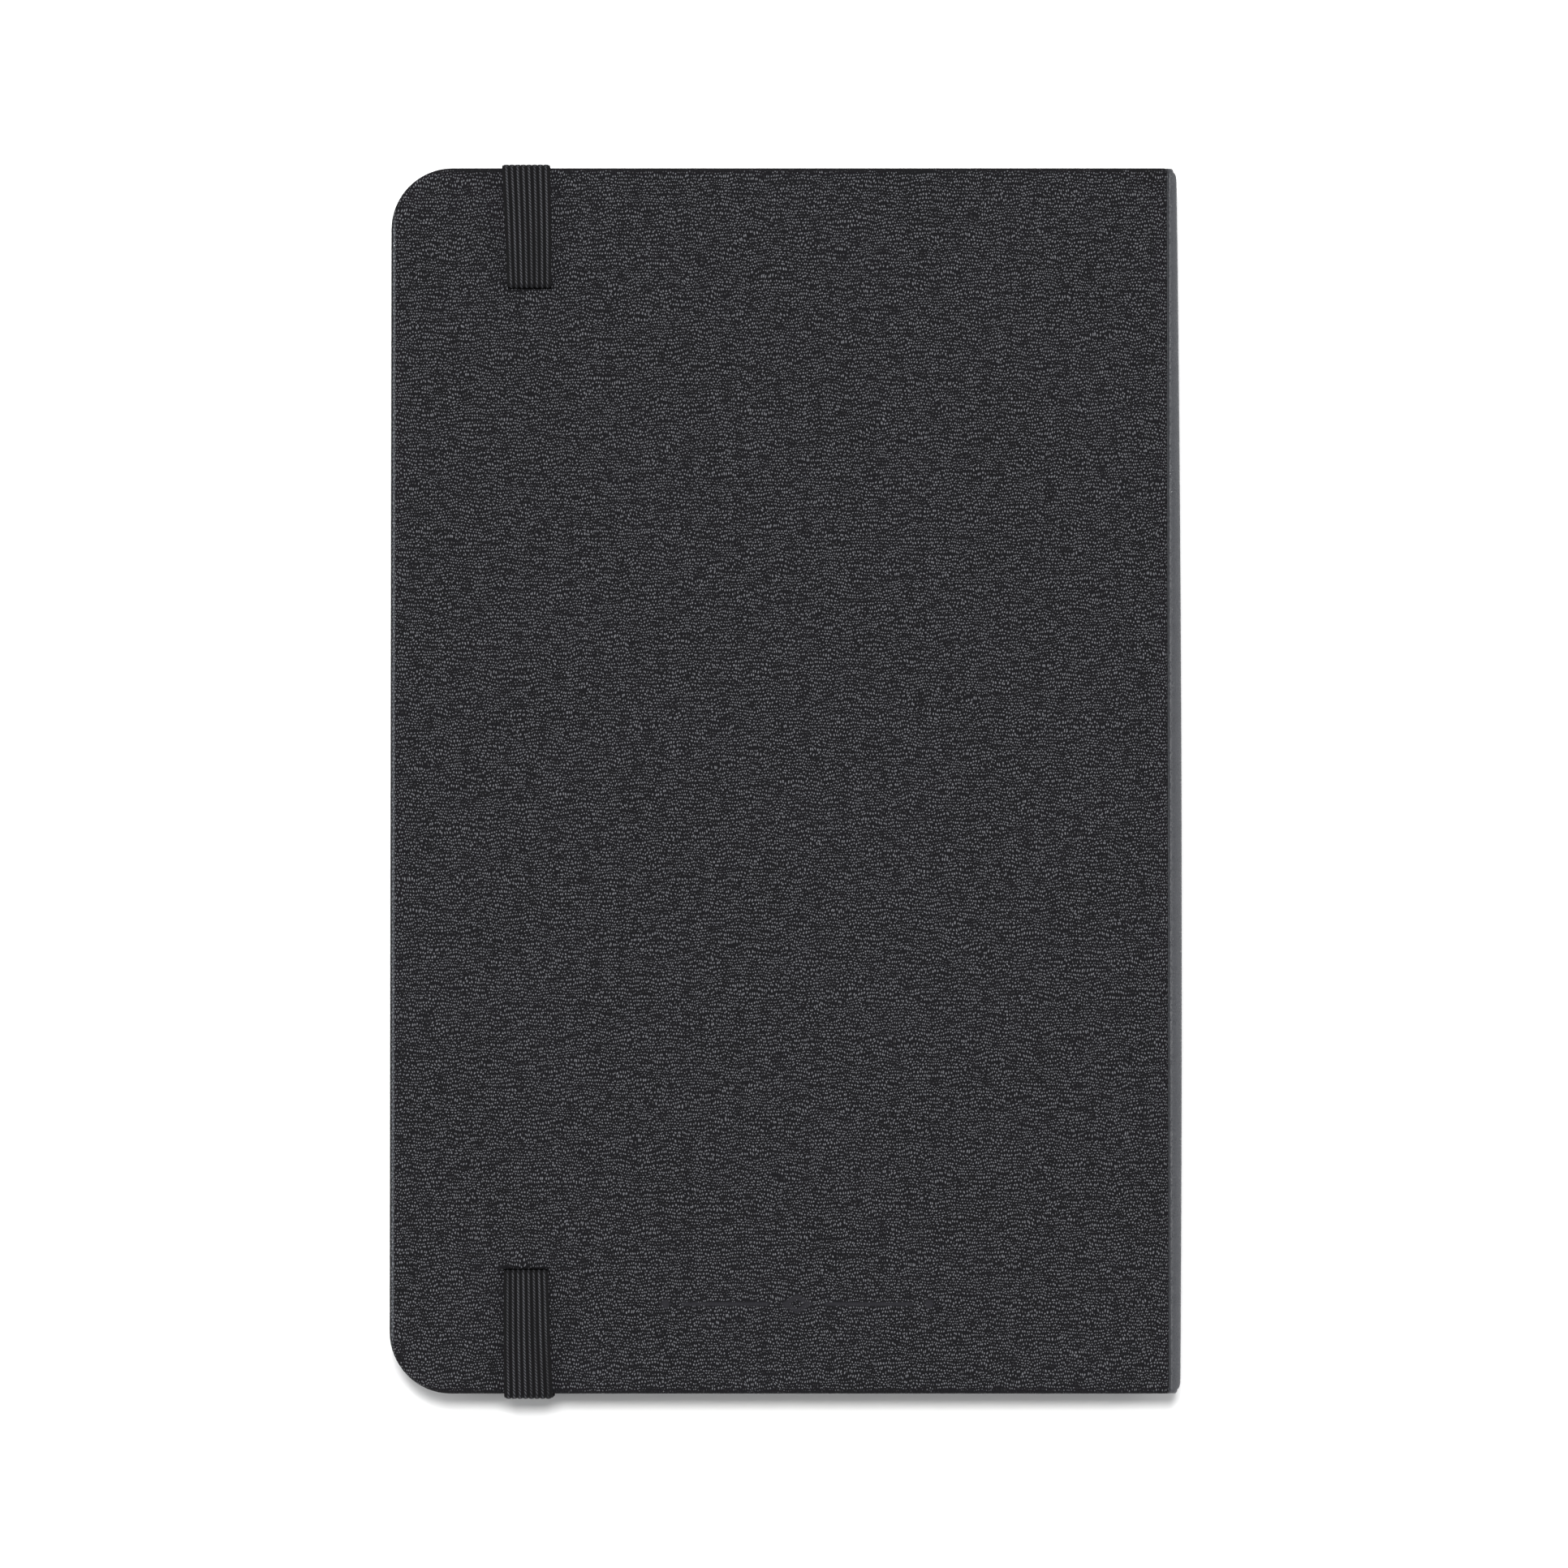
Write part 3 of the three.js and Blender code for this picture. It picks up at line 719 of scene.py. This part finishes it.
def line_slots(skin):
    """Folds the skin down into both slots."""
    mesh = bmesh.new()
    mesh.from_mesh(skin.data)
    rim = [e for e in mesh.edges if e.is_boundary and all(
        in_slot(v.co.x / MM, v.co.y / MM, 0.1) for v in e.verts)]
    for drop in (0.25, 0.9):
        made = bmesh.ops.extrude_edge_only(mesh, edges=rim)["geom"]
        for vertex in (g for g in made if isinstance(g, bmesh.types.BMVert)):
            vertex.co.z -= drop * MM
        rim = [g for g in made if isinstance(g, bmesh.types.BMEdge)]
    mesh.to_mesh(skin.data)
    mesh.free()
    skin.data.polygons.foreach_set("use_smooth", [True] * len(skin.data.polygons))


for side, nodes, lean in (("back", ["back_cover_skin", "spine_skin"], 0.14),
                          ("front", ["front_cover_skin"], 0.0)):
    skin = case_skin(f"{side}_case_skin", side == "back")
    finish_piece(skin, "leatherette")
    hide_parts(*nodes)
    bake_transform(skin)

# ---- Spine card ----

SPINE_CARD = 0.62  # thickness


def spine_card():
    """The card that stiffens the spine, bowed with the skin over it."""
    low, high = box("spine_stiffener")
    rows = spread([low[1] + 0.2, high[1] - 0.2], [3.0])
    levels = spread([low[2] + 0.35, high[2] - 0.35], [1.5])
    lines = [[(spine_reach(y) - SKIN - 0.06 - SPINE_CARD / 2, y, z) for z in levels] for y in rows]
    card = thick_sheet("spine_card", lines, SPINE_CARD)
    finish_piece(card, "grey_board")
    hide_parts("spine_stiffener")
    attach(card, "text_block")


spine_card()

# ---- Elastic strap ----

STRAP_HALF_AT_SLOT = 2.51
POINTS_PER_RIB = 7
ANCHOR_LENGTH = 14.6
ANCHOR_Z = 12.985  # middle of the strap where it is glued under the board
NARROWING = 13.5  # length over which the strap narrows to its slot
HEAD_STAND_OFF, TAIL_STAND_OFF = 0.22, 0.34  # of the strap's middle, from the book's ends
HEAD_THINNED, TAIL_THINNED = 0.36, 0.10  # share of the thickness lost over those ends
GLUED_SHARE = 0.42  # of the thickness that is left where it is glued
STRAP_WAVES = 4


def rounded_path(corners, radii, step):
    """Points along straight runs with rounded corners, in the plane of the strap."""
    corners = [np.array(c, float) for c in corners]
    points = [corners[0]]
    for k in range(1, len(corners) - 1):
        before = corners[k - 1] - corners[k]
        after = corners[k + 1] - corners[k]
        before, after = before / np.linalg.norm(before), after / np.linalg.norm(after)
        start, end = corners[k] + before * radii[k - 1], corners[k] + after * radii[k - 1]
        for t in np.linspace(0, math.pi / 2, 7):
            points.append(start + (corners[k] - start) * math.sin(t)
                          + (end - corners[k]) * (1 - math.cos(t)))
    points.append(corners[-1])
    filled = [points[0]]
    for a, b in zip(points, points[1:]):
        count = max(1, math.ceil(np.linalg.norm(b - a) / step))
        filled += [a + (b - a) * k / count for k in range(1, count + 1)]
    return np.array(filled)


def strap_section():
    """One turn round the ribbed section: x as a share of the half width, height of the half."""
    count = RIBS * POINTS_PER_RIB
    across = np.linspace(-RIBBED_SHARE, RIBBED_SHARE, count + 1)
    crest = np.abs(np.sin(np.linspace(0, RIBS * math.pi, count + 1))) ** 0.75
    height = 0.50 + 0.50 * crest
    across = np.concatenate([[-1, -0.985], across, [0.985, 1]])
    height = np.concatenate([[0.12, 0.42], height, [0.42, 0.12]])
    top = np.column_stack([across, height])
    return np.concatenate([top, top[::-1] * (1, -1)])


def elastic_strap():
    """The loop as one ribbed band, from its anchor at the head to that at the tail."""
    half = STRAP_THICKNESS / 2
    over = BACK_FACE + 0.04 + half
    head_side, tail_side = HEAD_EDGE + HEAD_STAND_OFF, -HEAD_EDGE - TAIL_STAND_OFF
    corners = [(HEAD_SLOT - ANCHOR_LENGTH, ANCHOR_Z), (HEAD_SLOT, ANCHOR_Z), (HEAD_SLOT, over),
               (head_side, over), (head_side, half), (tail_side, half), (tail_side, over),
               (TAIL_SLOT, over), (TAIL_SLOT, ANCHOR_Z), (TAIL_SLOT + ANCHOR_LENGTH, ANCHOR_Z)]
    path = rounded_path(corners, [0.3, 0.42, 0.5, 0.5, 0.5, 0.5, 0.42, 0.3], 1.6)
    tangent = np.gradient(path, axis=0)
    tangent /= np.linalg.norm(tangent, axis=1)[:, None]
    normal = np.column_stack([-tangent[:, 1], tangent[:, 0]])
    length = np.concatenate([[0], np.cumsum(np.linalg.norm(np.diff(path, axis=0), axis=1))])
    section = strap_section()
    points, uvs = [], []
    rng = random.Random(11)
    waves = [rng.uniform(-0.03, 0.03) for _ in range(STRAP_WAVES)]
    for (y, z), (ny, nz), run in zip(path, normal, length):
        slot = HEAD_SLOT if y > 0 else TAIL_SLOT
        in_board = z < BACK_FACE - 0.2 and abs(y) < 60 and z > MIDDLE
        from_slot = 0 if in_board else np.clip(abs(y - slot) / NARROWING, 0, 1)
        wide = STRAP_HALF_AT_SLOT + (STRAP_HALF_WIDTH - STRAP_HALF_AT_SLOT) * from_slot**0.8
        # it is thin where it is glued down, and where it is pulled over an edge
        over_edge = smoothstep((abs(y) - HEAD_EDGE + 1.0) / 1.2)
        stretched = 1 - (HEAD_THINNED if y > 0 else TAIL_THINNED) * over_edge
        if in_board and abs(y - slot) > 0.6:
            stretched = GLUED_SHARE
        at_edge = TAIL_STRAP_X + (HEAD_STRAP_X - TAIL_STRAP_X) * (y / HEAD_EDGE / 2 + 0.5)
        at_slot = HEAD_SLOT_X if y > 0 else TAIL_SLOT_X
        on_back = z > BACK_FACE - 3 and y * np.sign(slot) > 0
        middle = at_edge + (at_slot - at_edge) * (1 - from_slot) if on_back else at_edge
        sway = sum(a * math.sin(run * (k + 1) * 0.11) for k, a in enumerate(waves))
        for across, height in section:
            rise = height * half * stretched
            points.append((middle + sway + across * wide, y + ny * rise, z + nz * rise))
            uvs.append((across * STRAP_HALF_WIDTH, run))
    columns = len(section)
    faces = grid_faces(len(path), columns, closed=True, flip=True)
    faces.append(tuple(range(columns)))
    faces.append(tuple(range(len(points) - columns, len(points)))[::-1])
    strap = make_object("elastic_strap", points, faces, uvs)
    finish_piece(strap, "elastic")
    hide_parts("elastic_head_end", "elastic_tail_end", "elastic_front_span",
                "elastic_head_wrap", "elastic_tail_wrap")
    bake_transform(strap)


elastic_strap()

# ---- Pages ----

SIGNATURES = 12
LEAVES = 8  # per signature, as four folded sheets
LEAF = 0.066
TRIM = 0.10  # how unevenly the fore-edges are cut
LIFT = 0.006  # of a leaf at its fore-edge
PAGE_CORNER = 5.0
CORNER_STEPS = 9
LEAF_STEP = 22.0  # between the rows of a leaf's mesh
GUTTER_START = 41.9  # a leaf turns between here and the next
GUTTER_END = 39.2


def page_rows(half_height, step):
    """Heights from tail to head, close together at the rounded corners."""
    corner = corner_rows(half_height, PAGE_CORNER, CORNER_STEPS)
    return np.concatenate([-corner[::-1], spread([-corner[0], corner[0]], [step])[1:-1], corner])


def leaf_columns(fore, gutter):
    """Shares from the fore-edge (0) to the gutter (1), closer together where a leaf turns."""
    stops = spread([fore, GUTTER_END, GUTTER_START, gutter], [28.0, 0.45, 0.2])
    return (stops - fore) / (gutter - fore)


def paper_sheet(name, rows, profile_at, thickness, slot):
    """A sheet whose section in x and z is given at each height."""
    lines = [[(x, y, z) for x, z in profile_at(y)] for y in rows]
    sheet = thick_sheet(name, lines, thickness)
    return finish_piece(sheet, slot)


def signature(index):
    """Folded sheets nested in each other, their fore-edges trimmed almost even."""
    node = f"signature_{index:02d}"
    low, high = box(node)
    rng = random.Random(100 + index)
    rows = page_rows(high[1], LEAF_STEP)
    pitch = (high[2] - low[2] - 0.01) / LEAVES
    middle = (low[2] + high[2]) / 2
    for sheet in range(LEAVES // 2):
        reach = pitch * (LEAVES / 2 - sheet - 0.5)
        gutter = high[0] - 0.02 - (LEAVES / 2 * pitch - reach) - reach
        columns = leaf_columns(low[0], gutter)
        trims = [rng.uniform(0.0, TRIM) for _ in range(2)]
        lift = [rng.uniform(-1, 1) * LIFT for _ in range(2)]
        fold = np.linspace(-math.pi / 2, math.pi / 2, 7)[1:-1]

        def profile_at(y):
            starts = [fore_edge_at(y, low[0] + t, PAGE_CORNER, high[1]) for t in trims]
            below = [(starts[0] + c * (gutter - starts[0]), middle - reach + lift[0] * (1 - c))
                     for c in columns]
            above = [(starts[1] + c * (gutter - starts[1]), middle + reach + lift[1] * (1 - c))
                     for c in columns]
            bend = [(gutter + reach * math.cos(a), middle + reach * math.sin(a)) for a in fold]
            return below + bend + above[::-1]

        piece = paper_sheet(f"{node}_sheet_{sheet + 1}", rows, profile_at, LEAF, "page_paper")
        place_leaf(piece, index)
        if sheet == 0:
            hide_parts(node)


def place_leaf(piece, index):
    """The outermost signatures are baked where they lie, and the rest stay in the block."""
    turning = {1: "front_signature", SIGNATURES: "rear_signature"}.get(index)
    if turning:
        turn_at_gutter(piece)
    else:
        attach(piece, "text_block")


def turn_at_gutter(piece):
    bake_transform(piece)


for index in range(1, SIGNATURES + 1):
    signature(index)

# ---- Endpapers ----

ENDPAPER = 0.10
PASTED_END = CREASE - 1.3  # where the paste-down gives way to the joint
PRINT_THROUGH = 0.02  # of the cloth flap under the paste-down
JOINT_STRIP = 0.08


def flyleaf(node):
    """The free half of an endpaper."""
    low, high = box(node)
    middle = (low[2] + high[2]) / 2
    gutter = high[0] - 0.05
    columns = leaf_columns(low[0], gutter)

    def profile_at(y):
        start = fore_edge_at(y, low[0], PAGE_CORNER, high[1])
        return [(start + c * (gutter - start), middle) for c in columns]

    leaf = paper_sheet(f"{node}_paper", page_rows(high[1], LEAF_STEP), profile_at, ENDPAPER,
                       "endpaper")
    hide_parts(node)
    turn_at_gutter(leaf)


def ridge_over(y, x, node):
    """How far the paste-down shows what lies under it, from 0 to 1."""
    low, high = box(node)
    inside_x = smoothstep((x - low[0]) / 0.8) * smoothstep((high[0] - x) / 0.8)
    inside_y = smoothstep((y - low[1]) / 0.8) * smoothstep((high[1] - y) / 0.8)
    return inside_x * inside_y


def pastedown(side):
    """The half of an endpaper that is glued to its board."""
    node = f"{side}_pastedown"
    low, high = box(node)
    towards_pages = -1 if side == "back" else 1
    face = (low[2] + high[2]) / 2
    columns = np.linspace(0, 1, 56)

    def profile_at(y):
        start = fore_edge_at(y, low[0], PAGE_CORNER, high[1])
        x = start + columns * (PASTED_END - start)
        print_through = PRINT_THROUGH * ridge_over(y, x, f"{side}_mull_flap")
        return list(zip(x, face + towards_pages * print_through))

    piece = paper_sheet(f"{side}_pastedown_paper", page_rows(high[1], 1.6), profile_at, ENDPAPER,
                        "endpaper")
    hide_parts(node)
    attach(piece, f"{side}_cover")
    if side == "back":
        rear_joint_strip(face)


def rear_joint_strip(pasted_z):
    """The folded strip that carries the rear endpaper over the joint, from board to block."""
    low, high = box("rear_flyleaf")
    start_z = (low[2] + high[2]) / 2 + 0.11
    start = np.array([high[0] - 2.6, start_z])
    gutter = np.array([high[0] + 0.10, start_z + 0.10])
    fold = np.array([CREASE - 0.45, (start_z + pasted_z) / 2])
    upper = np.array([high[0] + 0.10, pasted_z - 0.16])
    pasted = np.array([PASTED_END - 1.0, pasted_z - 0.13])
    half = high[1] - 0.4
    rows = spread([-half, half], [8.0])
    t = np.linspace(0, 1, 20)[:, None]
    weights = [(1 - t) ** 4, 4 * t * (1 - t) ** 3, 6 * t**2 * (1 - t) ** 2,
               4 * t**3 * (1 - t), t**4]
    curve = sum(w * p for w, p in zip(weights, (start, gutter, fold, upper, pasted)))
    strip = paper_sheet("back_endpaper_joint", rows, lambda y: [tuple(p) for p in curve],
                        JOINT_STRIP, "endpaper")
    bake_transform(strip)


flyleaf("rear_flyleaf")
flyleaf("front_flyleaf")
pastedown("back")
pastedown("front")

# ---- Back pocket ----

PANEL_CARD = 0.12
PANEL_TURNED = 0.05  # of the mouth's turned-over edge
TURNED_WIDTH = 3.4
PANEL_RIM = 0.03
GUSSET_CLOTH = 0.07


def pocket_panel():
    """The pocket's front: card with a turned-over mouth and a rim pressed flat round it."""
    low, high = box("pocket_panel")
    rows = page_rows(high[1], 3.0)
    columns = np.concatenate([np.linspace(0, 0.93, 40), np.linspace(0.93, 1, 12)[1:]])
    face = low[2] + 0.11

    def profile_at(y):
        start = fore_edge_at(y, low[0], PAGE_CORNER, high[1])
        x = start + columns * (high[0] - start)
        turned = PANEL_TURNED * smoothstep((x - high[0] + TURNED_WIDTH) / 0.5)
        rim = PANEL_RIM * smoothstep((start + 2.0 - x) / 0.6)
        return list(zip(x, face - turned + rim))

    panel = paper_sheet("pocket_panel_card", rows, profile_at, PANEL_CARD, "endpaper")
    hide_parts("pocket_panel")
    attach(panel, "pocket_flap")


def pocket_gusset(end, way):
    """A cloth side of the pocket: folded in between the paste-down and the panel."""
    node = f"pocket_gusset_{end}"
    low, high = box(node)
    outer, inner = (high[1], low[1]) if way > 0 else (low[1], high[1])
    top, bottom = high[2] - 0.03, low[2] + 0.03
    columns = spread([low[0], high[0]], [4.0])
    lane = np.linspace(0, 1, 12)
    turn = np.linspace(-math.pi / 2, math.pi / 2, 9)[1:-1]
    reach = (top - bottom) / 2
    fold_at = inner + way * (reach + 0.1)
    section = [(outer + (fold_at - outer) * c, top) for c in lane]
    section += [(fold_at - way * reach * math.cos(a), (top + bottom) / 2 - reach * math.sin(a))
                for a in turn]
    section += [(fold_at + (outer - fold_at) * c, bottom) for c in lane]
    lines = [[(x, y, z) for y, z in section] for x in columns]
    gusset = thick_sheet(f"{node}_cloth", lines, GUSSET_CLOTH)
    finish_piece(gusset, "pocket_cloth")
    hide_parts(node)
    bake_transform(gusset)


pocket_panel()
pocket_gusset("head", 1)
pocket_gusset("tail", -1)

# ---- Ribbon ----

RIBBON = 0.09
SELVEDGE = 0.015  # how far the edges stand up
RIBBON_SWAY = 0.04


def ribbon(name, node, body, low_y, high_y, cut):
    """A length of woven ribbon with raised selvedges, slightly waved, its tail end cut askew."""
    low, high = box(node)
    left, right = low[0] + 0.05, low[0] + 4.95
    columns = np.linspace(0, 1, 15)
    rows = spread([low_y, high_y], [1.5])
    face = (low[2] + high[2]) / 2
    lines, uvs = [], []
    for y in rows:
        slant = cut * (1 - (y - low_y) / (high_y - low_y)) ** 8
        sway = RIBBON_SWAY * math.sin(y * 0.22)
        lines.append([(left + c * (right - left) + sway, y + slant * (c - 0.5),
                       face + SELVEDGE * (abs(c - 0.5) > 0.42)) for c in columns])
        uvs += [(c * (right - left), y) for c in columns]
    made = thick_sheet(name, lines, RIBBON, uvs)
    finish_piece(made, "ribbon")
    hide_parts(node)
    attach(made, body)


ASKEW = 2.4  # of the free end's cut, from one edge to the other
marker_low, marker_high = box("ribbon_marker")
tail_low, tail_high = box("ribbon_tail")
ribbon("ribbon_marker_woven", "ribbon_marker", "text_block",
       marker_low[1], marker_high[1] - 1.0, 0)
ribbon("ribbon_tail_woven", "ribbon_tail", "ribbon_free_end",
       tail_low[1] + ASKEW / 2, tail_high[1], ASKEW)

# ---- Floor, light and camera ----

FLOOR_SIDE = 3.0
# each is a range of a direction's height or sideways share, and the strengths at its two ends
SKY_STOPS = (0.45, 0.90, 0.75, 0.12)  # dimmer overhead
HEAD_SIDE_STOPS = (-0.3, 0.3, 0.40, 0.25)  # dimmer at the head than at the tail
FLANK_STOPS = (0.35, 0.8, 0.8, 4.4)  # bright at the fore-edge and the spine
HORIZON_STOPS = (0.07, 0.13, 0.90, 0.0)  # a pale band, too low to light much
SKY_COLOUR = (0.97, 0.985, 1.0, 1)

CAMERA_TARGET = (-0.00009, -0.00055, BACK_FACE * MM)
CAMERA_DISTANCE = 1.2
CAMERA_LEAN = math.radians(2.5)  # towards the tail
FRAME_WIDTH = 0.1789  # of the view at the cover's face


def aim(thing, target):
    away = Vector(target) - thing.location
    thing.rotation_euler = away.to_track_quat("-Z", "Y").to_euler()


def pale_floor():
    bpy.ops.mesh.primitive_plane_add(size=FLOOR_SIDE, location=(0, 0, -0.0002))
    floor = bpy.context.object
    floor.name = "pale_floor"
    n = Nodes("pale_floor")
    tone = n.noise(n.place(), 3.0, 2.0)
    n.shade("Base Color", n.ramp(tone, (0.93, 0.93, 0.93), (0.95, 0.95, 0.95)))
    n.shader.inputs["Roughness"].default_value = 0.9
    n.shader.inputs["Specular IOR Level"].default_value = 0.1
    floor.data.materials.append(n.material)


def studio_sky():
    """Bright at the flanks and dim overhead, so edges gleam and the cover stays dark."""
    world = bpy.context.scene.world or bpy.data.worlds.new("studio")
    bpy.context.scene.world = world
    world.use_nodes = True
    tree = world.node_tree
    tree.nodes.clear()

    def mapped(value, stops):
        made = tree.nodes.new("ShaderNodeMapRange")
        tree.links.new(value, made.inputs["Value"])
        for socket, stop in zip(("From Min", "From Max", "To Min", "To Max"), stops):
            made.inputs[socket].default_value = stop
        return made.outputs[0]

    def math_of(operation, *values):
        made = tree.nodes.new("ShaderNodeMath")
        made.operation = operation
        for socket, value in zip(made.inputs, values):
            tree.links.new(value, socket)
        return made.outputs[0]

    split = tree.nodes.new("ShaderNodeSeparateXYZ")
    tree.links.new(tree.nodes.new("ShaderNodeTexCoord").outputs["Generated"], split.inputs[0])
    x, y, z = split.outputs
    strength = math_of("MULTIPLY", mapped(z, SKY_STOPS), mapped(y, HEAD_SIDE_STOPS))
    strength = math_of("MULTIPLY", strength, mapped(math_of("ABSOLUTE", x), FLANK_STOPS))
    strength = math_of("MAXIMUM", strength, mapped(z, HORIZON_STOPS))
    background = tree.nodes.new("ShaderNodeBackground")
    background.inputs["Color"].default_value = SKY_COLOUR
    tree.links.new(strength, background.inputs["Strength"])
    output = tree.nodes.new("ShaderNodeOutputWorld")
    tree.links.new(background.outputs[0], output.inputs["Surface"])


def area_light(name, location, size, power):
    """A soft rectangle of light that faces the book."""
    lamp = bpy.data.lights.new(name, "AREA")
    lamp.shape = "RECTANGLE"
    lamp.size, lamp.size_y = size
    lamp.energy = power
    made = bpy.data.objects.new(name, lamp)
    bpy.context.scene.collection.objects.link(made)
    made.location = location
    aim(made, (0, 0, 0.01))


def photo_camera():
    camera = bpy.data.objects.new("camera", bpy.data.cameras.new("camera"))
    bpy.context.scene.collection.objects.link(camera)
    x, y, z = CAMERA_TARGET
    camera.location = (x, y - CAMERA_DISTANCE * math.sin(CAMERA_LEAN),
                       z + CAMERA_DISTANCE * math.cos(CAMERA_LEAN))
    aim(camera, CAMERA_TARGET)
    camera.data.angle = 2 * math.atan(FRAME_WIDTH / 2 / CAMERA_DISTANCE)
    camera.data.clip_start = 0.01
    bpy.context.scene.camera = camera


pale_floor()
studio_sky()
area_light("overhead_softbox", (-0.02, 0.165, 1.60), (0.26, 0.26), 34.0)
area_light("fore_edge_strip", (-1.1, 0.0, 0.30), (0.9, 0.25), 5.0)
area_light("spine_strip", (1.1, 0.05, 0.32), (0.9, 0.25), 5.0)
photo_camera()
bpy.context.scene.view_settings.view_transform = "Standard"
